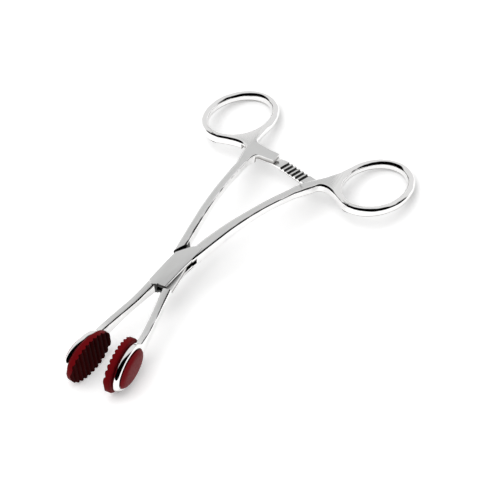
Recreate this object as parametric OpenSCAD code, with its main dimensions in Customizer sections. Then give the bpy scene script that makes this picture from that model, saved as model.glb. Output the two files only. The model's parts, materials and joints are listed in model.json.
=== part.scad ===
// Ring-handled tongue forceps with a box lock and two rubber inserts.
// Millimetres, +Z up. The jaws point along -Y, the finger rings along +Y.
// It lies on the far ends of its rings and on the lower edges of its inserts, at z = 0.
// Each arm is drawn in a lock frame: the pin is on the Z axis, the box is level and the
// jaws are closed. placed() then opens the arms and lays the whole thing on the table.

/* [Arms] */
// Width of a shank where it is slimmest
shank_w = 3.5; // [2.9:0.1:3.9]
// Thickness of a shank
shank_t = 3.6; // [3.1:0.1:4.3]
// Radius of the rounded edges of the shanks
edge_r = 0.65; // [0.35:0.05:1]
// Distance between the centre lines of the closed shanks at the box
shank_gap_box = 4.7; // [4.5:0.1:5.4]
// Distance between the centre lines of the closed shanks where they turn outwards
shank_gap_turn = 14.1; // [12.3:0.2:16.8]
// Distance from the pin to where the shanks turn outwards
turn_y = 58.2; // [53.8:0.5:62.7]
// Angle by which the handles are bent down below the plane of the lock
handle_bend = 20.5; // [14:0.5:25]
// Distance from the pin to the middle of that bend
bend_y = 36.7; // [32.5:0.2:40.3]

/* [Finger rings] */
// Length of a ring along the handle, over the outside
ring_len = 41.2; // [37:0.2:44.8]
// Width of a ring, over the outside
ring_width = 28; // [25.8:0.2:31.4]
// Width of the ring's section, across the rim
rim_w = 3.15; // [2.7:0.05:3.7]
// Height of the ring's section
rim_t = 4.1; // [3.6:0.1:4.9]
// Distance from the pin to the middle of a closed ring
ring_y = 87.9; // [85.1:0.5:91.8]
// Distance from the closed centre line to the middle of a ring
ring_x = 25.1; // [24.1:0.1:26.9]
// Lean of a closed ring's long axis towards the other ring
ring_lean = 3.2; // [0:0.2:5]

/* [Ratchet] */
// Width of a ratchet bar along the handle
ratchet_w = 5.7; // [4.8:0.1:6.2]
// Thickness of a ratchet bar, over its teeth
ratchet_t = 1.6; // [1.45:0.05:1.9]
// Distance from the pin to the middle of the bars
ratchet_y = 70.7; // [69.5:0.1:72.5]
// Number of teeth on the long bar
teeth = 6; // [5:1:7]
// Distance from tooth to tooth
tooth_pitch = 1.95; // [1.7:0.05:2.1]
// Depth of a tooth
tooth_depth = 0.65; // [0.45:0.05:0.9]
// Clear height between the two rows of teeth
ratchet_gap = 0.35; // [0.3:0.05:0.5]
// Reach of the upper bar past the closed centre line
upper_reach = 2.7; // [1.8:0.1:3.8]
// Reach of the lower bar past the closed centre line
lower_reach = 13; // [12.1:0.1:13.4]

/* [Box lock] */
// Width of the box
box_w = 7.5; // [6.9:0.1:8.3]
// Thickness of the box
box_t = 5.6; // [5.2:0.1:6.7]
// Distance from the pin to the crotch of the handles
box_handle_len = 9.6; // [9:0.1:10.8]
// Radius about the pin of the arched jaw end of the box
box_arch_r = 12.1; // [11.2:0.1:13.4]
// Height of the slot through the box
slot_t = 2.25; // [1.8:0.05:2.7]
// Radius about the pin of the closed ends of the slot
slot_r = 7.8; // [7.4:0.1:8.3]
// Diameter of the lock pin
pin_d = 3.4; // [2.7:0.1:3.8]

/* [Jaws] */
// Distance from the pin to the middle of the inserts
jaw_y = 50.4; // [47:0.2:53.8]
// How much further out the box arm's insert sits than the other one
jaw_stagger = 2.7; // [0:0.1:3.4]
// Sideways set of both jaws about the pin
jaw_set = 4; // [0:0.2:5]
// Length of the oval steel frame round an insert
frame_len = 21.3; // [20.2:0.2:22.8]
// Height of the oval steel frame
frame_h = 16.1; // [15:0.2:17.5]
// Width of the steel rim of the frame
frame_rim = 2.6; // [2.25:0.05:2.9]
// Thickness of the frame
frame_t = 2.8; // [2.45:0.05:3.15]

/* [Rubber inserts] */
// Length of the gripping face
pad_len = 23.7; // [22.6:0.2:25.1]
// Height of the gripping face
pad_h = 17.9; // [17:0.2:19]
// Thickness of the rubber from the frame to the tops of the ribs
pad_t = 2.9; // [2.45:0.05:3.35]
// Number of ribs across the gripping face
ribs = 11; // [9:1:12]
// Depth of the grooves between the ribs
rib_depth = 1; // [0.55:0.05:1.25]
// Width of the button's lip over the edge of the frame's hole
button_lip = 0.9; // [0.55:0.05:1.25]
// How far the button stands out of the frame
button_t = 1.55; // [1.1:0.05:2]

/* [Opening] */
// Angle between the arms as they lie, from jaws closed
open_angle = 11.2; // [8:0.2:24]
// Gap between the ribs of the two inserts when closed
closed_gap = 0.3; // [0.2:0.1:1]

/* [Hidden] */

// Clearances: tongue in its slot, running fit on the pin, between closed arms,
// between a shoulder and the cheeks, and between an insert and its frame
tongue_clear = 0.08;
pin_clear = 0.05;
arm_clear = 0.25;
shoulder_clear = 0.3;
fit_clear = 0.1;

corner_steps = 2;
shank_steps = 26;
ring_steps = 52;
jaw_steps = 15;
frame_steps = 40;
oval_steps = 44;
bend_half = 14.5;
steel = [0.76, 0.77, 0.78];
rubber = [0.36, 0.04, 0.05];
half_turn = open_angle / 2;
half_box = box_w / 2;

// Plain helpers
function mix(a, b, t) = a + (b - a) * t;
function ease(t) = t <= 0 ? 0 : t >= 1 ? 1 : t * t * (3 - 2 * t);
function unit(v) = v / norm(v);
function spin(p, a) = [p.x * cos(a) - p.y * sin(a), p.x * sin(a) + p.y * cos(a)];
function hermite(a, b, ta, tb, t) =
    let (u = 1 - t)
    a * (1 + 2 * t) * u * u + ta * t * u * u + b * t * t * (3 - 2 * t) - tb * t * t * u;

// Rounded rectangle of half sizes w and h, as the points of one section
function rounded(w, h, r) =
    let (c = min(r, w * 0.95, h * 0.95))
    [for (q = [0:3], k = [0:corner_steps])
        let (a = 90 * q + 90 * k / corner_steps,
             sx = q == 0 || q == 3 ? 1 : -1,
             sy = q < 2 ? 1 : -1)
        [sx * (w - c) + c * cos(a), sy * (h - c) + c * sin(a)]];

// Places section points square to a path, with the section's width kept level
function section_at(p, dir, section) =
    let (side = unit([dir.y, -dir.x, 0]), up = cross(side, unit(dir)))
    [for (q = section) p + side * q.x + up * q.y];

// Solid through rings of points, open with end caps or closed on itself
module skin(rings, closed = false) {
    n = len(rings[0]);
    m = len(rings);
    spans = closed ? m : m - 1;
    sides = [for (i = [0:spans - 1], k = [0:n - 1])
        let (j = (i + 1) % m, l = (k + 1) % n)
        each [[i * n + k, i * n + l, j * n + l], [i * n + k, j * n + l, j * n + k]]];
    caps = closed ? [] : [[for (k = [n - 1:-1:0]) k], [for (k = [0:n - 1]) (m - 1) * n + k]];
    polyhedron([for (r = rings, p = r) p], concat(sides, caps));
}

// Middle plane of the handles: level, then a round bend, then a straight slope
bend_from = bend_y - bend_half;
bend_to = bend_y + bend_half;
function handle_slope(y) = -tan(handle_bend) * min(1, max(0, (y - bend_from) / (bend_to - bend_from)));
function handle_z(y) = y <= bend_to ? handle_slope(y) * max(0, y - bend_from) / 2 : -tan(handle_bend) * (y - bend_y);

// Frame of the straight part of the handles, with y measured along the slope
module at_handle() {
    translate([0, bend_y, 0]) rotate([-handle_bend, 0, 0]) children();
}
function along(y) = (y - bend_y) / cos(handle_bend);

// Finger ring: an oval rim in the plane of the handle
half_rim_x = (ring_width - rim_w) / 2;
half_rim_y = (ring_len - rim_w) / 2;
function ring_point(a) =
    [ring_x, along(ring_y)] + spin([half_rim_x * cos(a), half_rim_y * sin(a)], ring_lean);
module finger_ring() {
    at_handle() skin([for (i = [0:ring_steps - 1])
        let (a = 360 * i / ring_steps, p = ring_point(a), d = ring_point(a + 2) - ring_point(a - 2))
        section_at([p.x, p.y, 0], [d.x, d.y, 0], rounded(rim_w / 2, rim_t / 2, rim_w * 0.4))], true);
}

// Shank: a straight run from the box, then an eased one that joins the side of the ring
shank_start = [shank_gap_box / 2, 4.5];
shank_turn = [shank_gap_turn / 2, turn_y];
ring_side = ring_point(185);
shank_end = [ring_side.x, bend_y + ring_side.y * cos(handle_bend)];
turn_part = 0.64;
function shank_point(t) =
    let (reach = shank_end.y - turn_y, lead = unit(shank_turn - shank_start) * reach)
    t < turn_part ? mix(shank_start, shank_turn, t / turn_part)
        : hermite(shank_turn, shank_end, lead, [0.6, reach], (t - turn_part) / (1 - turn_part));
function shank_rings() =
    [for (i = [0:shank_steps])
        let (t = i / shank_steps,
             p = shank_point(t),
             d = shank_point(min(1, t + 0.004)) - shank_point(max(0, t - 0.004)),
             slim = ease((p.y - 7) / 18),
             thin = ease((p.y - 9) / 38),
             flare = ease((p.y - turn_y) / 11),
             w = mix(half_box - arm_clear, shank_w, slim) + flare * 0.5,
             h = mix(box_t - 0.1, shank_t, thin) + flare * (rim_t - shank_t) / 2)
        section_at([p.x, p.y, handle_z(p.y)], [d.x, d.y, d.y * handle_slope(p.y)],
            rounded(w / 2, h / 2, edge_r))];

// Web that fills the corner between the shank and the near side of the ring
module neck_web() {
    near = shank_point(0.68);
    high = shank_point(0.95);
    web = rim_t - 0.5;
    corner = [ring_x - ring_width / 2 + 0.3, along(ring_y) - ring_len / 2 + 1.1];
    at_handle() translate([0, 0, -web / 2]) linear_extrude(web) polygon(concat(
        [[near.x, along(near.y)], [near.x + shank_w * 0.48, along(near.y + 0.4)]],
        [for (q = [[-0.8, -3.3], [-0.3, -1.1], [0.5, 0.7], [2.2, 1.5], [4.8, 1.6], [8.4, 0.8]]) corner + q],
        [for (a = [246, 230, 214, 200]) ring_point(a)],
        [[high.x, along(high.y)]]));
}

// Ratchet bars: plates across the closed centre line, with teeth face to face
module ratchet_bar(reach, up) {
    side = up ? 1 : -1;
    root = shank_point(0.82).x;
    first = reach - (up ? 1 : 5.6);
    row = up ? teeth - 2 : teeth;
    toothed = [for (i = [0:row - 1])
        let (x = i * tooth_pitch - first)
        each [[x, 0], [x + tooth_pitch * 0.6, tooth_depth], [x + tooth_pitch * 0.8, tooth_depth]]];
    outline = concat([[-reach, up ? 0.7 : 1]], toothed, [[row * tooth_pitch - first, 0], [root, 0],
        [root, ratchet_t], [(up ? 0.7 : 0.2) - reach, ratchet_t]]);
    at_handle() translate([0, along(ratchet_y) + ratchet_w / 2, 0]) rotate([90, 0, 0])
        linear_extrude(ratchet_w)
            polygon([for (p = outline) [p.x, side * (p.y + ratchet_gap / 2)]]);
}

// Pocket under the tongue arm's neck that takes the end of the long bar
module ratchet_pocket() {
    root = shank_point(0.8).x;
    at_handle() translate([-lower_reach - 1.2, along(ratchet_y) - ratchet_w / 2 - 0.8, -rim_t])
        cube([lower_reach + 1.2 - root + shank_w, ratchet_w + 2.6, rim_t + ratchet_gap / 2 + 0.1]);
}

// Jaws: along the closed line turned by jaw_set about the pin
frame_mid_x = closed_gap / 2 + pad_t + frame_t / 2;
neck_end_y = jaw_y - frame_len / 2 + 1.6;
module at_jaws() {
    rotate([0, 0, jaw_set]) children();
}
module at_insert(out) {
    at_jaws() translate([0, -jaw_y - out, 0]) children();
}

// Jaw neck: from the box, bowed out and flared upright into the oval frame
function neck_rings(out) =
    let (from = 4.5, to = neck_end_y + out, bow_from = 9)
    [for (i = [0:jaw_steps])
        let (y = mix(from, to, i / jaw_steps),
             s = (y - bow_from) / (to - bow_from),
             lean = ease(s + 0.01) - ease(s - 0.01),
             slim = ease((y - 9) / 16),
             flare = s <= 0 ? 0 : pow(s, 3),
             x = mix(shank_gap_box / 2 - 0.2, frame_mid_x, ease(s)),
             dx = lean / 0.02 * (frame_mid_x - shank_gap_box / 2 + 0.2) / (to - bow_from),
             w = mix(mix(half_box - arm_clear, shank_w * 0.86, slim), frame_t, flare),
             h = mix(box_t - 0.1, shank_t * 0.92, slim) + flare * 4.5)
        section_at([-x, -y, 0], [-dx, -1, 0], rounded(w / 2, h / 2, edge_r))];
module jaw_frame() {
    a = (frame_len - frame_rim) / 2;
    b = (frame_h - frame_rim) / 2;
    skin([for (i = [0:frame_steps - 1])
        let (g = 360 * i / frame_steps,
             c = [-frame_mid_x, a * cos(g), b * sin(g)],
             n = unit([0, b * cos(g), a * sin(g)]))
        [for (q = rounded(frame_rim / 2, frame_t / 2, 0.8)) c + n * q.x + [q.y, 0, 0]]], true);
}

// One arm without its lock: handle on the +x side, jaw on the -x side
module arm_body(out) {
    skin(shank_rings());
    finger_ring();
    neck_web();
    at_jaws() skin(neck_rings(out));
    at_insert(out) jaw_frame();
}

// Plan of the cheeks grown by g: straight sides, a seam to the handle crotch, an arched end
seam_y = 3.6;
seam_n = unit([-(box_handle_len - seam_y), half_box - 0.4]);
module cheek_plan(g, far) {
    arch = box_arch_r + g;
    wide = asin((half_box + g) / arch);
    jaw_side = concat(
        [[-half_box - g, -1], [-half_box - g, -far], [g - arm_clear / 2, -far]],
        [for (k = [0:6]) let (a = mix(2 + g * 4, wide, k / 6)) [arch * sin(a), -arch * cos(a)]],
        [[half_box + g, -1]]);
    polygon(concat(
        [[-half_box, seam_y] + seam_n * g],
        [for (p = jaw_side) spin(p, jaw_set)],
        [[half_box + g, box_handle_len], [half_box + g, far], [g - 0.4 - arm_clear, far],
         [-0.4, box_handle_len] + seam_n * g]));
}

// Solid box, kept inside the outlines of the shank and the neck at its two ends
module box_block() {
    translate([0, 0, -box_t / 2]) linear_extrude(box_t) intersection() {
        cheek_plan(0, box_arch_r + 6);
        polygon([[-half_box - 1, 0], spin([-half_box, -box_arch_r], jaw_set), spin([-1.6, -box_arch_r - 1.6], jaw_set),
            spin([-0.2, -box_arch_r - 0.6], jaw_set), spin([half_box + 1, -box_arch_r], jaw_set), [half_box + 1, 0],
            [half_box, box_handle_len - 1], [half_box - 0.4, box_handle_len + 2],
            [1.7, box_handle_len + 2], [-0.5, box_handle_len - 0.1], [-half_box - 1, box_handle_len - 0.1]]);
    }
}

// Slot through the box, open on the sides where the tongue swings out
module slot() {
    open = 30;
    linear_extrude(slot_t, center = true) union() {
        circle(r = slot_r + tongue_clear, $fn = 96);
        polygon([[-0.45, 0], [-0.45, open], [-open, open], [-open, 0]]);
        rotate(jaw_set) polygon([[0.1, 0], [open, 0], [open, -box_arch_r - 4], [0.1, -box_arch_r - 4]]);
    }
}

// Tongue: a thin plate in the slot, out to the two full-thickness shoulders
module tongue() {
    half = half_box - 0.05;
    linear_extrude(slot_t - 2 * tongue_clear, center = true) union() {
        intersection() {
            circle(r = slot_r, $fn = 96);
            polygon([[-half, -slot_r], spin([half, -slot_r], jaw_set), [half, 0], [half, slot_r], [-half, slot_r]]);
        }
        polygon([[-half, 0], [0, 0], [-0.62, 6], [-0.62, box_handle_len + 1.4], [-2.9, box_handle_len - 0.6], [-half, 5.4]]);
        rotate(jaw_set) polygon([[0.22, 0], [0.22, -box_arch_r - 0.6], [1, -box_arch_r - 2], [2.7, -box_arch_r - 2],
            [half - 0.1, -box_arch_r], [half, -6], [half, 0]]);
    }
}

// Depth of the lowest points below the pin's middle at a tilt, at the rings and at the jaws
function ring_low(t) =
    -(spin([ring_x, ring_y], -half_turn).y * sin(t) + handle_z(ring_y) * cos(t))
        + half_rim_y * sin(handle_bend - t) + rim_t / 2;
function jaw_low(t) =
    (jaw_y + jaw_stagger / 2) * cos(half_turn) * sin(t)
        + norm([pad_len / 2 * sin(t), pad_h / 2 * cos(t)]);
tilt_miss = ring_low(5) - jaw_low(5);
rest_tilt = 5 + 4 * tilt_miss / (tilt_miss - ring_low(9) + jaw_low(9));
lock_height = jaw_low(rest_tilt);

// Middle of the whole length, brought to y = 0
ring_reach = spin([ring_x, ring_y], -half_turn).y * cos(rest_tilt) - handle_z(ring_y) * sin(rest_tilt)
    + (half_rim_y + rim_w / 2) * cos(handle_bend - rest_tilt);
pad_reach = (jaw_y + jaw_stagger / 2) * cos(half_turn - jaw_set) * cos(rest_tilt)
    + norm([pad_len / 2 * cos(rest_tilt), pad_h / 2 * sin(rest_tilt)]);
y_shift = (pad_reach - ring_reach) / 2;

// Opens an arm by an angle and lays the lock on the table
module placed(turn) {
    translate([0, y_shift, lock_height]) rotate([rest_tilt, 0, 0]) rotate([0, 0, turn]) children();
}

module box_arm() {
    color(steel) placed(-half_turn) difference() {
        union() {
            arm_body(jaw_stagger / 2);
            box_block();
            ratchet_bar(lower_reach, false);
        }
        slot();
        cylinder(h = box_t + 2, d = pin_d, center = true, $fn = 48);
    }
}

module tongue_arm() {
    color(steel) placed(half_turn) difference() {
        union() {
            difference() {
                union() {
                    mirror([1, 0, 0]) skin(shank_rings());
                    mirror([1, 0, 0]) finger_ring();
                    mirror([1, 0, 0]) neck_web();
                    mirror([1, 0, 0]) ratchet_bar(upper_reach, true);
                    at_jaws() mirror([1, 0, 0]) skin(neck_rings(-jaw_stagger / 2));
                    at_insert(-jaw_stagger / 2) mirror([1, 0, 0]) jaw_frame();
                }
                translate([0, 0, -box_t]) linear_extrude(2 * box_t) cheek_plan(shoulder_clear, 20);
                ratchet_pocket();
            }
            tongue();
        }
        cylinder(h = box_t, d = pin_d + 2 * pin_clear, center = true, $fn = 48);
    }
}

module lock_pin() {
    color(steel) placed(0) cylinder(h = box_t, d = pin_d, center = true, $fn = 48);
}

// Oval outline of half sizes a and b in a plane square to x
function oval(x, a, b) = [for (i = [0:oval_steps - 1]) let (g = 360 * i / oval_steps) [x, a * cos(g), -b * sin(g)]];

// Insert: a ribbed oval flange inside, a waist through the frame and a button outside
module insert_body() {
    face = -closed_gap / 2;
    back = face - pad_t + fit_clear;
    outer = -frame_mid_x - frame_t / 2 - fit_clear;
    a = pad_len / 2;
    b = pad_h / 2;
    wa = frame_len / 2 - frame_rim - fit_clear;
    wb = frame_h / 2 - frame_rim - fit_clear;
    ba = wa + button_lip;
    bb = wb + button_lip;
    pitch = pad_len / ribs;
    rib = [for (i = [0:ribs - 1])
        let (y = i * pitch - a)
        each [[face - rib_depth, y + pitch * 0.12], [face - 0.15, y + pitch * 0.26], [face, y + pitch * 0.4],
              [face, y + pitch * 0.6], [face - 0.15, y + pitch * 0.74], [face - rib_depth, y + pitch * 0.88]]];
    intersection() {
        skin([oval(back, a - 0.5, b - 0.5), oval(back + 0.5, a, b), oval(face + 0.2, a, b)]);
        translate([0, 0, -b - 1]) linear_extrude(2 * b + 2)
            polygon(concat([[back - 1, -a - 1]], [[face - rib_depth, -a - 1]], rib,
                [[face - rib_depth, a + 1], [back - 1, a + 1]]));
    }
    skin([oval(outer - button_t, ba - 1.7, bb - 1.7), oval(outer - button_t * 0.82, ba - 0.7, bb - 0.7),
        oval(outer - button_t * 0.4, ba - 0.1, bb - 0.1), oval(outer - 0.2, ba, bb), oval(outer, ba - 0.2, bb - 0.2),
        oval(outer + 0.01, wa, wb), oval(back + 0.3, wa, wb)]);
}

module box_arm_insert() {
    color(rubber) placed(-half_turn) at_insert(jaw_stagger / 2) insert_body();
}

module tongue_arm_insert() {
    color(rubber) placed(half_turn) at_insert(-jaw_stagger / 2) mirror([1, 0, 0]) insert_body();
}

box_arm();
tongue_arm();
lock_pin();
box_arm_insert();
tongue_arm_insert();
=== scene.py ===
# Tongue forceps: smooth steel arms, a box lock and ribbed red rubber inserts
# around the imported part. Shapes are drawn in millimetres about the lock pin.
import json
from math import atan, atan2, cos, degrees, pi, radians, sin, sqrt, tan

import bmesh
import bpy
from mathutils import Matrix, Vector
from mathutils.geometry import interpolate_bezier


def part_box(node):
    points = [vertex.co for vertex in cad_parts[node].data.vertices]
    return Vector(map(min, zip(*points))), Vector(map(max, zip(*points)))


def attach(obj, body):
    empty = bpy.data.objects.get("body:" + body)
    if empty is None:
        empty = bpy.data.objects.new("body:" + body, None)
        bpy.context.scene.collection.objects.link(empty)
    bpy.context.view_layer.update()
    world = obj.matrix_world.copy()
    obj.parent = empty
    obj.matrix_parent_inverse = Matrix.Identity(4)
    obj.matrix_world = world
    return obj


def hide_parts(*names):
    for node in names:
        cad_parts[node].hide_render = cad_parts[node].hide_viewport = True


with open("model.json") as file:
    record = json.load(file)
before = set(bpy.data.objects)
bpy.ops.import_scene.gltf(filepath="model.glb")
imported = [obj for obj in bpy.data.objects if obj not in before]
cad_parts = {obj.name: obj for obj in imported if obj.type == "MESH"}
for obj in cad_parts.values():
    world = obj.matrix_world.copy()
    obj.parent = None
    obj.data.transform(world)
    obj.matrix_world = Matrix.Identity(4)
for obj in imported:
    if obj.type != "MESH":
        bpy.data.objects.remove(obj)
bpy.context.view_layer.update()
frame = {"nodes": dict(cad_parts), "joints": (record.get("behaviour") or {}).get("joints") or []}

# How the forceps lies: the frame gives the lock's tilt and the middle of its pin
lockAxis = frame["joints"][0]["axis"]
pinLow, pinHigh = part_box("lock_pin")
lying = {"tilt": degrees(atan2(-lockAxis[1], lockAxis[2])), "halfOpening": 5.6,
         "pin": (Vector(pinLow) + Vector(pinHigh)) / 2}
print("frame loaded")


# Small helpers for curves and meshes
def mix(a, b, t):
    return a + (b - a) * t


def ease(t):
    t = min(1, max(0, t))
    return t * t * (3 - 2 * t)


def turned(point, angle):
    c, s = cos(radians(angle)), sin(radians(angle))
    return (point[0] * c - point[1] * s, point[0] * s + point[1] * c)


def curve(a, b, c, d, steps):
    points = interpolate_bezier([*a, 0], [*b, 0], [*c, 0], [*d, 0], steps)
    return [(p.x, p.y) for p in points]


def placed(side):
    # from millimetres about the pin to the frame's metres
    return (Matrix.Translation(lying["pin"]) @ Matrix.Scale(0.001, 4)
            @ Matrix.Rotation(radians(lying["tilt"]), 4, "X")
            @ Matrix.Rotation(radians(-lying["halfOpening"] * side), 4, "Z"))


def pieceFrom(bm, name):
    bmesh.ops.recalc_face_normals(bm, faces=bm.faces)
    mesh = bpy.data.meshes.new(name)
    bm.to_mesh(mesh)
    bm.free()
    piece = bpy.data.objects.new(name, mesh)
    bpy.context.scene.collection.objects.link(piece)
    return piece


def applied(piece):
    graph = bpy.context.evaluated_depsgraph_get()
    mesh = bpy.data.meshes.new_from_object(piece.evaluated_get(graph))
    piece.modifiers.clear()
    old = piece.data
    piece.data = mesh
    bpy.data.meshes.remove(old)
    return piece


def combined(piece, operation, *tools):
    for tool in tools:
        cut = piece.modifiers.new("cut", "BOOLEAN")
        cut.operation = operation
        cut.solver = "EXACT"
        cut.object = tool
        applied(piece)
        bpy.data.objects.remove(tool)
    return piece


def rounded(piece, width, segments, angle):
    edge = piece.modifiers.new("edge", "BEVEL")
    edge.width = width
    edge.segments = segments
    edge.profile = 0.5
    edge.limit_method = "ANGLE"
    edge.angle_limit = radians(angle)
    return applied(piece)


def prism(name, points, low, high):
    bm = bmesh.new()
    face = bm.faces.new([bm.verts.new((x, y, low)) for x, y in points])
    grown = bmesh.ops.extrude_face_region(bm, geom=[face])
    rim = [v for v in grown["geom"] if isinstance(v, bmesh.types.BMVert)]
    bmesh.ops.translate(bm, verts=rim, vec=(0, 0, high - low))
    return pieceFrom(bm, name)


def drum(name, radius, low, high, segments=96):
    bm = bmesh.new()
    bmesh.ops.create_cone(bm, cap_ends=True, segments=segments, radius1=radius,
                          radius2=radius, depth=high - low)
    bmesh.ops.translate(bm, verts=bm.verts, vec=(0, 0, (high + low) / 2))
    return pieceFrom(bm, name)


def roundedSection(corner, steps=4):
    # a square of half width 1 with elliptic corners, drawn as one closed loop
    points = []
    for quarter in range(4):
        sx = 1 if quarter in (0, 3) else -1
        sy = 1 if quarter < 2 else -1
        for k in range(steps + 1):
            a = pi / 2 * (quarter + k / steps)
            points.append((sx * (1 - corner[0]) + corner[0] * cos(a),
                           sy * (1 - corner[1]) + corner[1] * sin(a)))
    return points


def station(middle, across, upward, halfWidth, halfHeight):
    across, upward = Vector(across).normalized(), Vector(upward).normalized()
    axes = Matrix((across * halfWidth, upward * halfHeight, across.cross(upward)))
    return Matrix.Translation(middle) @ axes.transposed().to_4x4()


def sweep(bm, section, stations, closed=False):
    # the section is extruded from station to station
    ring = [bm.verts.new(stations[0] @ Vector((x, y, 0))) for x, y in section]
    edges = [bm.edges.new((ring[i - 1], ring[i])) for i in range(len(ring))]
    if not closed:
        bm.faces.new(ring)
    for before, now in zip(stations, stations[1:]):
        grown = bmesh.ops.extrude_edge_only(bm, edges=edges)["geom"]
        ring = [v for v in grown if isinstance(v, bmesh.types.BMVert)]
        edges = [e for e in grown if isinstance(e, bmesh.types.BMEdge)]
        bmesh.ops.transform(bm, matrix=now @ before.inverted(), verts=ring)
    if closed:
        bmesh.ops.remove_doubles(bm, verts=bm.verts, dist=0.001)
    else:
        bmesh.ops.contextual_create(bm, geom=edges)


# Handles: a shank that bends upwards and a web that widens into the finger ring
handle = {"gapAtBox": 4.7, "gapAtTurn": 14.1, "boxY": 4.5, "turnY": 58.2, "width": 3.5,
          "boxThick": 5.5, "thick": 3.6, "slimFrom": 9, "slimOver": 38, "bend": 20.5,
          "bendY": 36.7, "bendHalf": 14.5, "flare": 1.3, "edge": 0.85, "stripY": 6, "strip": 1.4,
          "strips": 46}
loop = {"length": 41.2, "width": 28, "rim": 3.15, "thick": 4.1, "thickOver": 11, "x": 25.1,
        "y": 87.9, "lean": 3.2, "edge": 1.5, "step": 4}
ratchet = {"width": 5.7, "thick": 1.6, "y": 70.7, "teeth": 6, "pitch": 1.95, "depth": 0.65,
           "gap": 0.35, "lowerReach": 13, "lowerSmooth": 5.6, "root": 8.6, "edge": 0.13,
           "upperReach": 2.7, "upperSmooth": 1, "upperTeeth": 4, "upperLow": 3.1,
           "upperHigh": 2.4}


def slopeAt(y):
    part = (y - handle["bendY"] + handle["bendHalf"]) / (2 * handle["bendHalf"])
    return -tan(radians(handle["bend"])) * min(1, max(0, part))


def heightAt(y):
    start = handle["bendY"] - handle["bendHalf"]
    if y <= handle["bendY"] + handle["bendHalf"]:
        return slopeAt(y) * max(0, y - start) / 2
    return slopeAt(y) * (y - handle["bendY"])


def bent(x, y, z):
    a = -atan(slopeAt(y))
    return Vector((x, y + z * sin(a), heightAt(y) + z * cos(a)))


def middleAt(y):
    part = (y - handle["boxY"]) / (handle["turnY"] - handle["boxY"])
    return mix(handle["gapAtBox"], handle["gapAtTurn"], part) / 2


def halfThickAt(y):
    slim = ease((y - handle["slimFrom"]) / handle["slimOver"])
    grow = ease((y - handle["turnY"]) / loop["thickOver"])
    return mix(mix(handle["boxThick"], handle["thick"], slim), loop["thick"], grow) / 2


def loopPoint(angle, off):
    hx = (loop["width"] - loop["rim"]) / 2
    hy = (loop["length"] - loop["rim"]) / 2
    c, s = cos(radians(angle)), sin(radians(angle))
    n = sqrt((hy * c) ** 2 + (hx * s) ** 2)
    x, y = turned((hx * c + off * hy * c / n, hy * s + off * hx * s / n), loop["lean"])
    return (loop["x"] + x, loop["y"] + y * cos(radians(handle["bend"])))


def innerEdge(withBar):
    # from the shank to the ring, on the side of the other arm
    start = (middleAt(handle["turnY"]) - handle["width"] / 2, handle["turnY"])
    end = loopPoint(177, loop["rim"] / 2)
    if not withBar:
        return curve(start, (5.6, 68), (10.7, 75.5), end, 20)
    # the upper ratchet bar grows out of the neck in two fillets
    tip = -ratchet["upperReach"]
    low, high = ratchet["y"] - ratchet["upperLow"], ratchet["y"] + ratchet["upperHigh"]
    edge = curve(start, (5.6, 62), (6.2, 64.8), (5, low - 0.9), 8)
    edge += curve((5, low - 0.9), (4.2, low), (3, low), (1, low), 5)[1:]
    edge += [(tip + 0.2, low + 0.3), (tip, low + 0.6)]
    edge += [(tip + 0.3, high - 0.4), (tip + 0.6, high - 0.1), (1, high)]
    edge += curve((1, high), (6.5, high + 0.1), (9.3, 75), (10, 78), 10)
    return edge + curve((10, 78), (10.7, 80.5), (11, 83), end, 8)[1:]


def outerEdge():
    # from the box to the ring, on the free side
    half, turnY = handle["width"] / 2, handle["turnY"]
    edge = [(middleAt(handle["boxY"]) + half, handle["boxY"])]
    edge += curve((middleAt(turnY) + half, turnY), (9.5, 61.5), (10.5, 65), (11, 67.8), 8)
    edge += curve((11, 67.8), (11.3, 70.2), (12.6, 71.2), (15, 71.2), 10)[1:]
    end = loopPoint(262, loop["rim"] / 2)
    return edge + curve((15, 71.2), (18, 71.2), (21.5, 69.6), end, 10)[1:]


def boxEnd(withBar):
    half, boxY, flare = handle["width"] / 2, handle["boxY"], handle["flare"]
    corner = [(middleAt(boxY) - half, boxY)]
    if withBar:
        return corner
    # the shank of the box arm widens inwards before it meets the box
    return curve((middleAt(40) - half, 40), (middleAt(30) - half, 30),
                 (middleAt(20) - half - flare, 20),
                 (middleAt(10) - half - flare + 0.35, 10), 12) + corner


def handlePlan(bm, withBar):
    # two flat faces: the free half of the ring, and the other half with web and shank
    rim, step = loop["rim"] / 2, loop["step"]
    near, far = 270, 450
    outside = {a: bm.verts.new((*loopPoint(a, rim), 0)) for a in range(266, 538, step)}
    inside = {a: bm.verts.new((*loopPoint(a, -rim), 0)) for a in range(90, far, step)}
    inside[far] = inside[90]
    shank = [bm.verts.new((x, y, 0)) for x, y in
             innerEdge(withBar)[::-1] + boxEnd(withBar) + outerEdge()]
    bm.faces.new([outside[a] for a in range(near, far + 1, step)]
                 + [inside[a] for a in range(far, near - 1, -step)])
    bm.faces.new([outside[a] for a in range(far, 535, step)] + shank
                 + [outside[266], outside[near]]
                 + [inside[a] for a in range(near, 89, -step)])
    # narrow strips let the faces follow the bend
    for k in range(handle["strips"]):
        y = handle["stripY"] + handle["strip"] * k
        bmesh.ops.bisect_plane(bm, geom=bm.verts[:] + bm.edges[:] + bm.faces[:],
                               plane_co=(0, y, 0), plane_no=(0, 1, 0), dist=0.0001)


def edgeWidth(edge):
    # full on the ring, slimmer on the shank, none on the ratchet bar
    x, y = min(v.co.x for v in edge.verts), sum(v.co.y for v in edge.verts) / 2
    width = mix(handle["edge"], loop["edge"], ease((y - 66) / 10))
    if y <= 62:
        return width
    return 0 if x < 4.1 else mix(0.25, width, ease((x - 4) / 4))


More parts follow.
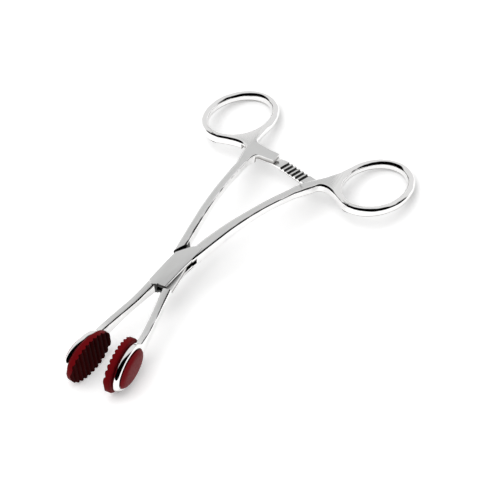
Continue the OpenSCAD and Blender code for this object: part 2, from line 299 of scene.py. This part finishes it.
def handlePiece(name, withBar):
    bm = bmesh.new()
    handlePlan(bm, withBar)
    grown = bmesh.ops.extrude_face_region(bm, geom=bm.faces[:], use_keep_orig=False)["geom"]
    top = [v for v in grown if isinstance(v, bmesh.types.BMVert)]
    bmesh.ops.translate(bm, verts=top, vec=(0, 0, 1))
    weight = bm.edges.layers.float.new("bevel_weight_edge")
    bmesh.ops.recalc_face_normals(bm, faces=bm.faces)
    for edge in bm.edges:
        level = edge.verts[0].co.z == edge.verts[1].co.z
        if level and edge.calc_face_angle(0) > 1:
            edge[weight] = edgeWidth(edge) / loop["edge"]
    for v in bm.verts:
        v.co = bent(v.co.x, v.co.y, (2 * v.co.z - 1) * halfThickAt(v.co.y))
    piece = pieceFrom(bm, name)
    edge = piece.modifiers.new("edge", "BEVEL")
    edge.width = loop["edge"]
    edge.segments = 6
    edge.profile = 0.5
    edge.limit_method = "WEIGHT"
    edge.use_clamp_overlap = False
    return applied(piece)


# Ratchet: flat bars whose teeth face each other
def toothed(reach, smooth, count):
    shape = [(-reach, 1)]
    for i in range(count):
        x = i * ratchet["pitch"] - reach + smooth
        shape += [(x, 0), (x + ratchet["pitch"] * 0.12, ratchet["depth"]),
                  (x + ratchet["pitch"] * 0.4, ratchet["depth"]),
                  (x + ratchet["pitch"] * 0.66, 0)]
    return shape


def alongBend(piece, y):
    # drawn as (x, height, across), laid square to the bent handle at y
    for v in piece.data.vertices:
        v.co = bent(v.co.x, y + v.co.z * cos(radians(handle["bend"])), v.co.y)
    bm = bmesh.new()
    bm.from_mesh(piece.data)
    bmesh.ops.recalc_face_normals(bm, faces=bm.faces)
    bm.to_mesh(piece.data)
    bm.free()
    return piece


def underBar():
    # what is cut away below the upper bar: a flat space with the teeth in its ceiling
    lift, left, right, deep = ratchet["gap"] / 2, -12, 5.1, -6
    flat = prism("under", [(left, lift), (right, lift), (right, deep), (left, deep)], -8, 9)
    teeth = toothed(ratchet["upperReach"], ratchet["upperSmooth"], ratchet["upperTeeth"])[1:]
    shape = [(left, lift - 1)] + [(x, z + lift) for x, z in teeth] + [(right, lift - 1)]
    # and room under the neck for the end of the long bar
    top, low, near, far = lift + 0.1, -5, 3, 14.2
    pocket = prism("pocket", [(near, top), (far, top), (far, low), (near, low)], -3.1, 3.6)
    combined(flat, "UNION", prism("teeth", shape, -1.9, 2), pocket)
    return alongBend(flat, ratchet["y"])


def longBar(name):
    reach, half, thick = ratchet["lowerReach"], ratchet["width"] / 2, ratchet["thick"]
    shape = toothed(reach, ratchet["lowerSmooth"], ratchet["teeth"])
    shape += [(ratchet["root"], 0), (ratchet["root"], thick), (0.2 - reach, thick)]
    bar = prism(name, [(x, -z - ratchet["gap"] / 2) for x, z in shape], -half, half)
    return rounded(alongBend(bar, ratchet["y"]), ratchet["edge"], 2, 60)


# Jaws: a bowed neck that flares into an upright oval frame
jaw = {"y": 50.4, "stagger": 2.7, "set": 4, "length": 21.3, "height": 16.1, "rim": 2.6,
       "thick": 2.8, "gap": 0.3, "padThick": 2.9, "bowFrom": 9, "slimOver": 16,
       "neckWidth": 3.01, "neckThick": 3.312, "flare": 3.6}
jawX = jaw["gap"] / 2 + jaw["padThick"] + jaw["thick"] / 2


def jawNeck(name, out):
    start, end = handle["boxY"], jaw["y"] - jaw["length"] / 2 + 1.6 + out
    base, bow = handle["gapAtBox"] / 2 - 0.2, end - jaw["bowFrom"]
    stations = []
    for i in range(41):
        y = mix(start, end, i / 40)
        s = (y - jaw["bowFrom"]) / bow
        lean = (ease(s + 0.01) - ease(s - 0.01)) / 0.02 * (jawX - base) / bow
        slim, flare = ease((y - jaw["bowFrom"]) / jaw["slimOver"]), max(0, s) ** 3
        wide = mix(mix(handle["width"], jaw["neckWidth"], slim), jaw["thick"], flare)
        high = mix(handle["boxThick"], jaw["neckThick"], slim) + flare * jaw["flare"]
        stations.append(station((-mix(base, jawX, ease(s)), -y, 0), (1, -lean, 0), (0, 0, 1),
                                wide / 2, high / 2))
    bm = bmesh.new()
    sweep(bm, roundedSection((0.42, 0.36)), stations)
    return pieceFrom(bm, name)


def jawFrame(name):
    a, b = (jaw["length"] - jaw["rim"]) / 2, (jaw["height"] - jaw["rim"]) / 2
    stations = []
    for i in range(81):
        g = 2 * pi * i / 80
        outward = Vector((0, b * cos(g), a * sin(g)))
        stations.append(station((-jawX, a * cos(g), b * sin(g)), outward, (-1, 0, 0),
                                jaw["rim"] / 2, jaw["thick"] / 2))
    bm = bmesh.new()
    sweep(bm, roundedSection((0.95, 0.9), 6), stations, closed=True)
    return pieceFrom(bm, name)


def setJaw(piece, out=None):
    move = Matrix.Rotation(radians(jaw["set"]), 4, "Z")
    if out is not None:
        move = move @ Matrix.Translation((0, -jaw["y"] - out, 0))
    piece.data.transform(move)
    return piece


def mirrored(piece, side):
    if side < 0:
        piece.data.transform(Matrix.Scale(-1, 4, (1, 0, 0)))
        piece.data.flip_normals()
    return piece


# Box lock: one arm passes through a slot in the other and turns about the pin
box = {"width": 7.5, "thick": 5.6, "handleLength": 9.6, "arch": 12.1, "slot": 2.25,
       "slotRadius": 7.8, "pin": 3.4, "play": 0.08, "pinPlay": 0.05, "shoulder": 0.6,
       "edge": 0.45}


def setPoints(*points):
    return [turned(p, jaw["set"]) for p in points]


def cheekPlan(grow, reach):
    # straight sides, a slanting seam at the handle end and an arch at the jaw end
    half, long = box["width"] / 2, box["handleLength"]
    seam = Vector((-(long - 3.6), half - 0.4)).normalized() * grow
    arch = box["arch"] + grow
    jawEnd = [(-half - grow, -1), (-half - grow, -reach), (grow - 0.125, -reach)]
    for k in range(13):
        a = radians(mix(2 + grow * 4, 18.06 if grow == 0 else 19.05, k / 12))
        jawEnd.append((arch * sin(a), -arch * cos(a)))
    jawEnd.append((half + grow, -1))
    return ([(-half + seam.x, 3.6 + seam.y)] + setPoints(*jawEnd)
            + [(half + grow, long), (half + grow, reach), (grow - 0.65, reach),
               (-0.4 + seam.x, long + seam.y)])


def boxBlock():
    half, long, arch = box["width"] / 2, box["handleLength"], box["arch"]
    block = prism("block", cheekPlan(0, arch + 6), -box["thick"] / 2, box["thick"] / 2)
    keep = [(-half - 1, 0)] + setPoints((-half, -arch), (-1.6, -arch - 1.6),
                                        (-0.2, -arch - 0.6), (half + 1, -arch))
    keep += [(half + 1, 0), (half, long - 1), (half - 0.4, long + 2), (1.7, long + 2),
             (-0.5, long - 0.1), (-half - 1, long - 0.1)]
    combined(block, "INTERSECT", prism("keep", keep, -4, 4))
    return rounded(block, box["edge"], 3, 50)


def boxArm():
    arm = handlePiece("boxArmSteel", False)
    combined(arm, "UNION", setJaw(jawNeck("neck", jaw["stagger"] / 2)), boxBlock(),
             longBar("bar"), setJaw(jawFrame("rim"), jaw["stagger"] / 2))
    # the slot is round about the pin and open on one side towards each end
    gap, arch = box["slot"] / 2, box["arch"]
    lane = [(-0.45, 0), (-0.45, 30), (-30, 30), (-30, 0)]
    jawLane = setPoints((0.1, 0), (30, 0), (30, -arch - 4), (0.1, -arch - 4))
    combined(arm, "DIFFERENCE", drum("slot", box["slotRadius"] + box["play"], -gap, gap),
             prism("lane", lane, -gap, gap), prism("lane", jawLane, -gap, gap),
             drum("pinHole", box["pin"] / 2, -4, 4, 48))
    return arm


def tongueArm():
    side, half = -1, box["width"] / 2 - 0.05
    arm = handlePiece("tongueArmSteel", True)
    combined(arm, "DIFFERENCE", underBar())
    mirrored(arm, side)
    # the jaw of this arm is the other one mirrored and set the same way
    neck = setJaw(mirrored(jawNeck("neck", -jaw["stagger"] / 2), side))
    rim = mirrored(jawFrame("rim"), side)
    combined(arm, "UNION", neck, setJaw(rim, -jaw["stagger"] / 2))
    combined(arm, "DIFFERENCE", prism("cheeks", cheekPlan(box["shoulder"], 20), -6, 6))
    # the thin core that fills the slot, with a tail towards each end
    gap, arch, radius = box["slot"] / 2 - box["play"], box["arch"], box["slotRadius"]
    core = drum("core", radius, -gap, gap)
    plan = [(-half, -radius), *setPoints((half, -radius)), (half, 0), (half, radius),
            (-half, radius)]
    combined(core, "INTERSECT", prism("plan", plan, -3, 3))
    handleSide = [(-half, 0), (0, 0), (-0.75, 6), (-1.15, 10.6), (-2.9, 9), (-half, 5.4)]
    jawSide = setPoints((0.22, 0), (0.22, -arch - 0.6), (1, -arch - 2), (2.7, -arch - 2),
                        (half - 0.1, -arch), (half, -6), (half, 0))
    combined(core, "UNION", prism("tail", handleSide, -gap, gap),
             prism("tail", jawSide, -gap, gap))
    combined(arm, "UNION", core)
    combined(arm, "DIFFERENCE", drum("pinHole", box["pin"] / 2 + box["pinPlay"], -4, 4, 48))
    return arm


# Rubber inserts: a ribbed flange inside, a waist, and a domed button outside
insert = {"length": 23.7, "height": 17.9, "ribs": 11, "depth": 0.6, "lip": 0.9, "button": 1.55,
          "fit": 0.1}


def spun(bm, profile, stretchY, stretchZ):
    # the profile is turned about the X axis and then stretched to an oval
    points = [bm.verts.new((x, r, 0)) for x, r in profile]
    edges = [bm.edges.new(pair) for pair in zip(points, points[1:])]
    bmesh.ops.spin(bm, geom=points + edges, cent=(0, 0, 0), axis=(1, 0, 0), dvec=(0, 0, 0),
                   angle=2 * pi, steps=88, use_merge=True, use_duplicate=False)
    bmesh.ops.remove_doubles(bm, verts=bm.verts, dist=0.0001)
    bmesh.ops.scale(bm, vec=(1, stretchY, stretchZ), verts=bm.verts)


def ribComb(face, back):
    # the side view of the ribs: each falls away to a groove on both sides
    half, valley = insert["length"] / 2, face - insert["depth"]
    flank = [(0.1, 1), (0.15, 0.8), (0.25, 0.25), (0.32, 0.07), (0.42, 0)]
    flank += [(1 - part, drop) for part, drop in reversed(flank)]
    pitch = insert["length"] / insert["ribs"]
    comb = [(back - 1, -half - 1), (valley, -half - 1)]
    for i in range(insert["ribs"]):
        comb += [(face - insert["depth"] * drop, (i + part) * pitch - half)
                 for part, drop in flank]
    comb += [(valley, half + 1), (back - 1, half + 1)]
    return prism("comb", comb, -insert["height"] / 2 - 1, insert["height"] / 2 + 1)


def insertPiece(name):
    face = -jaw["gap"] / 2
    back = face - jaw["padThick"] + insert["fit"]
    outer = -jawX - jaw["thick"] / 2 - insert["fit"]
    # oval flange with a rounded back edge
    bm = bmesh.new()
    flange = [(back, 0), (back, 0.93), (back + 0.12, 0.965), (back + 0.35, 0.99),
              (back + 0.7, 1), (face + 0.3, 1), (face + 0.3, 0)]
    spun(bm, flange, insert["length"] / 2, insert["height"] / 2)
    pad = pieceFrom(bm, name)
    combined(pad, "INTERSECT", ribComb(face, back))
    # waist in the frame's opening, and the button outside it
    halfY = jaw["length"] / 2 - jaw["rim"] - insert["fit"]
    halfZ = jaw["height"] / 2 - jaw["rim"] - insert["fit"]
    lip, t = insert["lip"] / halfY, insert["button"]
    bm = bmesh.new()
    dome = [(outer - t, 0), (outer - t * 0.99, 0.4), (outer - t * 0.95, 0.68),
            (outer - t * 0.88, 0.84), (outer - t * 0.76, 0.94), (outer - t * 0.58, 1.01),
            (outer - t * 0.38, 1.06), (outer - 0.3, 1.09), (outer - 0.1, 1 + lip),
            (outer, 1 + lip * 0.85), (outer, 1), (back + 0.3, 1), (back + 0.3, 0)]
    spun(bm, dome, halfY, halfZ)
    combined(pad, "UNION", pieceFrom(bm, "button"))
    return pad


# Small helpers for materials
def newMaterial(name):
    material = bpy.data.materials.new(name)
    material.use_nodes = True
    tree = material.node_tree
    tree.nodes.clear()
    shader = tree.nodes.new("ShaderNodeBsdfPrincipled")
    output = tree.nodes.new("ShaderNodeOutputMaterial")
    tree.links.new(shader.outputs[0], output.inputs[0])
    return material, tree, shader


def fed(tree, socket, value):
    # a socket takes a plain value or what another node puts out
    if isinstance(value, bpy.types.NodeSocket):
        tree.links.new(value, socket)
    else:
        socket.default_value = value


def noise(tree, scale, stretch=(1, 1, 1), detail=3):
    place = tree.nodes.new("ShaderNodeTexCoord")
    mapping = tree.nodes.new("ShaderNodeMapping")
    mapping.inputs["Scale"].default_value = stretch
    texture = tree.nodes.new("ShaderNodeTexNoise")
    texture.inputs["Scale"].default_value = scale
    texture.inputs["Detail"].default_value = detail
    tree.links.new(place.outputs["Object"], mapping.inputs["Vector"])
    tree.links.new(mapping.outputs[0], texture.inputs["Vector"])
    return texture.outputs["Fac"]


def marked(tree, name):
    mark = tree.nodes.new("ShaderNodeAttribute")
    mark.attribute_name = name
    return mark.outputs["Fac"]


def ranged(tree, source, low, high, fromLow=0.3, fromHigh=0.7):
    span = tree.nodes.new("ShaderNodeMapRange")
    span.inputs["From Min"].default_value = fromLow
    span.inputs["From Max"].default_value = fromHigh
    span.inputs["To Min"].default_value = low
    span.inputs["To Max"].default_value = high
    tree.links.new(source, span.inputs["Value"])
    return span.outputs["Result"]


def worked(tree, operation, *values):
    step = tree.nodes.new("ShaderNodeMath")
    step.operation = operation
    for socket, value in zip(step.inputs, values):
        fed(tree, socket, value)
    return step.outputs[0]


def blended(tree, factor, a, b):
    both = tree.nodes.new("ShaderNodeMix")
    both.data_type = "RGBA"
    for key, value in ((0, factor), (6, a), (7, b)):
        fed(tree, both.inputs[key], value)
    return both.outputs[2]


def bumped(tree, height, strength, distance, under=None):
    bump = tree.nodes.new("ShaderNodeBump")
    bump.inputs["Distance"].default_value = distance
    fed(tree, bump.inputs["Strength"], strength)
    fed(tree, bump.inputs["Height"], height)
    if under is not None:
        fed(tree, bump.inputs["Normal"], under)
    return bump.outputs[0]


# Steel: satin where it is ground flat, mirror polished where it is round, with painted shade
# underneath and in grooves and seams
# the dark steel for downward faces and the near-black steel for grooves and seams are painted
# shade
steelLook = {"polished": (0.90, 0.895, 0.89, 1), "satin": (0.67, 0.67, 0.665, 1),
             "satinDark": (0.62, 0.62, 0.615, 1), "paintedUnderShade": (0.16, 0.15, 0.14, 1),
             "polishRough": 0.06, "satinRough": 0.32, "satinMetal": 0.55,
             "grainRough": (-0.04, 0.05), "grainBump": (0.12, 0.00002), "grain": 900,
             "cloud": 90, "wave": 0.0013, "waveScale": 110, "satinWave": 0.05,
             # near-black steel for grooves and seams: painted shade
             "groove": (0.045, 0.045, 0.0441, 1),
             "grooveShadePale": (0.0585, 0.0585, 0.0572, 1), "grooveRough": (0.35, 0.5),
             "grooveGrain": 1800}


def satinTone(tree):
    return blended(tree, noise(tree, steelLook["cloud"]), steelLook["satin"],
                   steelLook["satinDark"])


def steelSurface(tree, grain, waveStrength):
    # fine grinding marks, and the slow waves that hand polishing leaves
    fine = bumped(tree, grain, *steelLook["grainBump"])
    return bumped(tree, noise(tree, steelLook["waveScale"], detail=1), waveStrength,
                  steelLook["wave"], fine)


def armSteel():
    material, tree, shader = newMaterial("forcepsSteel")
    satin, grain = marked(tree, "satin"), noise(tree, steelLook["grain"], (1, 0.12, 1), 4)
    shine = blended(tree, satin, steelLook["polished"], satinTone(tree))
    # downward faces turn to dark steel: painted shade standing in for the shaded floor beneath
    # them
    tone = blended(tree, marked(tree, "paintedUnderShade"), shine, steelLook["paintedUnderShade"])
    rough = worked(tree, "MULTIPLY_ADD", satin,
                   steelLook["satinRough"] - steelLook["polishRough"], steelLook["polishRough"])
    rough = worked(tree, "MULTIPLY_ADD", ranged(tree, grain, *steelLook["grainRough"]), satin,
                   rough)
    waves = ranged(tree, satin, 1, steelLook["satinWave"], 0, 1)
    fed(tree, shader.inputs["Base Color"], tone)
    fed(tree, shader.inputs["Metallic"], ranged(tree, satin, 1, steelLook["satinMetal"], 0, 1))
    fed(tree, shader.inputs["Roughness"], rough)
    fed(tree, shader.inputs["Normal"], steelSurface(tree, grain, waves))
    return material


def pinSteel():
    # the flush ends of the pin are satin like the cheeks around them
    material, tree, shader = newMaterial("pinSteel")
    grain = noise(tree, steelLook["grain"], (1, 0.12, 1), 4)
    low, high = (steelLook["satinRough"] + change for change in steelLook["grainRough"])
    fed(tree, shader.inputs["Base Color"], satinTone(tree))
    fed(tree, shader.inputs["Metallic"], steelLook["satinMetal"])
    fed(tree, shader.inputs["Roughness"], ranged(tree, grain, low, high))
    fed(tree, shader.inputs["Normal"], steelSurface(tree, grain, steelLook["satinWave"]))
    return material


def paintedShadeSteel():
    # the grooves between the teeth and the seams get a dull, near-black steel: painted shade
    # where shadow falls in them
    material, tree, shader = newMaterial("paintedShadeSteel")
    grain = noise(tree, steelLook["grooveGrain"])
    fed(tree, shader.inputs["Base Color"],
        blended(tree, grain, steelLook["groove"], steelLook["grooveShadePale"]))
    fed(tree, shader.inputs["Metallic"], 1)
    fed(tree, shader.inputs["Roughness"], ranged(tree, grain, *steelLook["grooveRough"]))
    return material


# Rubber: two close reds in soft clouds and a gloss for each part of the insert, with painted
# shade on the flange and more on its ribbed face
rubberLook = {"redRubber": ((0.20, 0.005, 0.009, 1), (0.15, 0.003, 0.006, 1), 0.2),
              # the side and rib reds are darker copies of the button's red: painted shade
              "sideShadeRubber": ((0.15, 0.002, 0.004, 1), (0.11, 0.0014, 0.003, 1), 0.08),
              "ribShadeRubber": ((0.05, 0.0005, 0.0008, 1), (0.03, 0.0003, 0.0005, 1), 0.02),
              "rough": (0.41, 0.56), "cloud": 160, "grain": 1400, "bump": (0.25, 0.00003)}


def rubberMaterial(name):
    material, tree, shader = newMaterial(name)
    light, deep, gloss = rubberLook[name]
    grain = noise(tree, rubberLook["grain"], detail=2)
    fed(tree, shader.inputs["Base Color"],
        blended(tree, noise(tree, rubberLook["cloud"]), light, deep))
    fed(tree, shader.inputs["Roughness"], ranged(tree, grain, *rubberLook["rough"]))
    fed(tree, shader.inputs["Specular IOR Level"], gloss)
    fed(tree, shader.inputs["IOR"], 1.33)
    fed(tree, shader.inputs["Normal"], bumped(tree, grain, *rubberLook["bump"]))
    return material


steels = [armSteel(), paintedShadeSteel()]
rubbers = [rubberMaterial(name) for name in ("redRubber", "sideShadeRubber", "ribShadeRubber")]
print("materials ready")


# Where each finish and each painted shade goes
def awayFromLoop(point, side):
    # 0 on the polished ring, 1 on the web and beyond
    lay = cos(radians(handle["bend"]))
    x, y = turned((side * point.x - loop["x"], (point.y - loop["y"]) / lay), -loop["lean"])
    reach = sqrt((2 * x / loop["width"]) ** 2 + (2 * y / loop["length"]) ** 2)
    return ease((reach - 0.99) / 0.09)


def isGroove(face, side, up):
    # between the teeth, on the face of the bar that meets the other bar
    x, y, z = face.center
    depth = side * ((bent(0, y, 0).z - z) * up.z) - ratchet["gap"] / 2
    bar = "upper" if side < 0 else "lower"
    along = side * x + ratchet[bar + "Reach"] - ratchet[bar + "Smooth"]
    inTeeth = -0.2 < along < ratchet["teeth"] * ratchet["pitch"] + 0.2
    return (inTeeth and abs(y - ratchet["y"]) < 3.3 and 0.05 < depth < ratchet["depth"] + 0.1
            and face.normal.dot(up) * side > -0.1 and abs(face.normal.y) < 0.75)


def isSeam(face, side):
    # the walls of the slot, and of the seams round the box, get the near-black steel: painted
    # shade
    x, y, z = face.center
    if abs(z) < 1.2 and abs(x) < 3.4 and (-7.5 if side < 0 else -13.5) < y < 11:
        return True
    inward = side * face.normal.y
    handleEnd = 3 < y < 12.5 and inward > 0.45
    jawEnd = side > 0 and -14.5 < y < -8 and inward < -0.12
    upright = abs(face.normal.z) < 0.6 and abs(z) < 3.2 and abs(x) < 5
    return upright and (handleEnd or jawEnd)


def markSteel(piece, side):
    # level ground faces are satin, rounded and upright ones polished; downward faces, grooves and
    # seams get painted shade
    mesh = piece.data
    for name in ("satin", "paintedUnderShade"):
        mesh.attributes.new(name, "FLOAT", "CORNER")
    satin, low = mesh.attributes["satin"].data, mesh.attributes["paintedUnderShade"].data
    for face in mesh.polygons:
        y = face.center.y
        up = bent(0, y, 1) - bent(0, y, 0)
        planar = abs(face.normal.dot(up)) > 0.9995
        face.use_smooth = not planar
        for corner in face.loop_indices:
            v = mesh.vertices[mesh.loops[corner].vertex_index]
            level = 1 if planar else abs(v.normal.dot(up))
            # downward faces are marked for the dark steel: painted shade of the shaded floor they
            # would mirror
            low[corner].value = ease((-v.normal.z - 0.02) / 0.3)
            satin[corner].value = (min(1, max(0, (level - 0.955) / 0.03))
                                   * ease((v.co.y + 42) / 6) * awayFromLoop(v.co, side))
        # grooves and seams take the near-black steel: painted shade
        if isGroove(face, side, up) or isSeam(face, side):
            face.material_index = 1
    mesh.set_sharp_from_angle(angle=radians(32))


def markRubber(pad):
    # painted shade: the flange is darker than the button, and its ribbed face darker still
    for face in pad.data.polygons:
        if face.center.x > -jaw["gap"] / 2 - jaw["padThick"] + 0.15:
            face.material_index = 2 if face.normal.x > 0.05 else 1


def finished(piece, side, finishes, body, node):
    piece.data.transform(placed(side))
    for material in finishes:
        piece.data.materials.append(material)
    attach(piece, body)
    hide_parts(node)
    print(piece.name, len(piece.data.polygons), "faces")


for makeArm, side, body in ((boxArm, 1, "box_arm"), (tongueArm, -1, "tongue_arm")):
    arm = makeArm()
    markSteel(arm, side)
    finished(arm, side, steels, body, body)

for name, side, body in (("boxArmInsert", 1, "box_arm"), ("tongueArmInsert", -1, "tongue_arm")):
    pad = insertPiece(name)
    markRubber(pad)
    setJaw(mirrored(pad, side), side * jaw["stagger"] / 2)
    pad.data.shade_smooth()
    pad.data.set_sharp_from_angle(angle=radians(38))
    finished(pad, side, rubbers, body, body + "_insert")

pin = frame["nodes"]["lock_pin"]
pin.data.materials.clear()
pin.data.materials.append(pinSteel())

# Floor, light and camera
studio = {"aim": Vector((0.00645, 0.01376, 0)), "stand": Vector((0.4090, -0.5343, 0.7578)),
          "lens": 188.4, "sensor": 36, "floor": 0.93, "lift": 0.3, "lamp": 9.0, "lampSize": 1.0,
          "lampPlace": Vector((-0.15, -0.53, 1.12)), "sky": 0.82, "dark": 0.0, "fill": 0.5,
          "darkSide": (0.66, -0.75, 0), "darkFrom": (0, 0.05), "darkEdge": (-0.34, -0.16)}


def paleFloor():
    bm = bmesh.new()
    bmesh.ops.create_grid(bm, x_segments=1, y_segments=1, size=3)
    floor = pieceFrom(bm, "paleFloor")
    if floor.data.polygons[0].normal.z < 0:
        floor.data.flip_normals()
    material, tree, shader = newMaterial("paleFloor")
    fed(tree, shader.inputs["Base Color"], (studio["floor"], studio["floor"], studio["floor"], 1))
    fed(tree, shader.inputs["Roughness"], 0.9)
    fed(tree, shader.inputs["Specular IOR Level"], 0.0)
    # the floor is lifted to white where it is seen, also in a mirror or through glass
    rays = tree.nodes.new("ShaderNodeLightPath").outputs
    seen = worked(tree, "MAXIMUM", rays["Is Camera Ray"], rays["Is Glossy Ray"])
    seen = worked(tree, "MAXIMUM", seen, rays["Is Transmission Ray"])
    fed(tree, shader.inputs["Emission Color"], (1, 1, 1, 1))
    fed(tree, shader.inputs["Emission Strength"],
        worked(tree, "MULTIPLY", seen, studio["lift"]))
    floor.data.materials.append(material)


def studioWorld():
    world = bpy.data.worlds.new("studio")
    bpy.context.scene.world = world
    world.use_nodes = True
    tree = world.node_tree
    tree.nodes.clear()
    output = tree.nodes.new("ShaderNodeOutputWorld")
    background = tree.nodes.new("ShaderNodeBackground")
    tree.links.new(background.outputs[0], output.inputs[0])
    direction = tree.nodes.new("ShaderNodeTexCoord").outputs["Generated"]
    split = tree.nodes.new("ShaderNodeSeparateXYZ")
    tree.links.new(direction, split.inputs[0])
    toward = tree.nodes.new("ShaderNodeVectorMath")
    toward.operation = "DOT_PRODUCT"
    toward.inputs[1].default_value = studio["darkSide"]
    tree.links.new(direction, toward.inputs[0])
    # the room in front of the table is dark, the rest a light grey
    room = worked(tree, "MULTIPLY", ranged(tree, split.outputs["Z"], 0, 1, *studio["darkFrom"]),
                  ranged(tree, toward.outputs["Value"], 0, 1, *studio["darkEdge"]))
    # metal mirrors the dark room, while matt surfaces still get some light from it
    rays = tree.nodes.new("ShaderNodeLightPath")
    share = ranged(tree, rays.outputs["Is Glossy Ray"], 1 - studio["fill"], 1, 0, 1)
    strength = ranged(tree, worked(tree, "MULTIPLY", room, share), studio["sky"],
                      studio["dark"], 0, 1)
    fed(tree, background.inputs["Strength"], strength)
    fed(tree, background.inputs["Color"], (1, 1, 1, 1))


def aimed(name, data, place):
    thing = bpy.data.objects.new(name, data)
    bpy.context.scene.collection.objects.link(thing)
    thing.location = place
    thing.rotation_euler = (studio["aim"] - place).to_track_quat("-Z", "Y").to_euler()
    return thing


paleFloor()
studioWorld()
lampData = bpy.data.lights.new("softbox", "AREA")
lampData.energy = studio["lamp"]
lampData.size = studio["lampSize"]
aimed("softbox", lampData, studio["lampPlace"]).visible_glossy = False
cameraData = bpy.data.cameras.new("camera")
cameraData.lens = studio["lens"]
cameraData.sensor_width = studio["sensor"]
bpy.context.scene.camera = aimed("camera", cameraData, studio["stand"])
bpy.context.scene.view_settings.view_transform = "Standard"
print("stage ready")
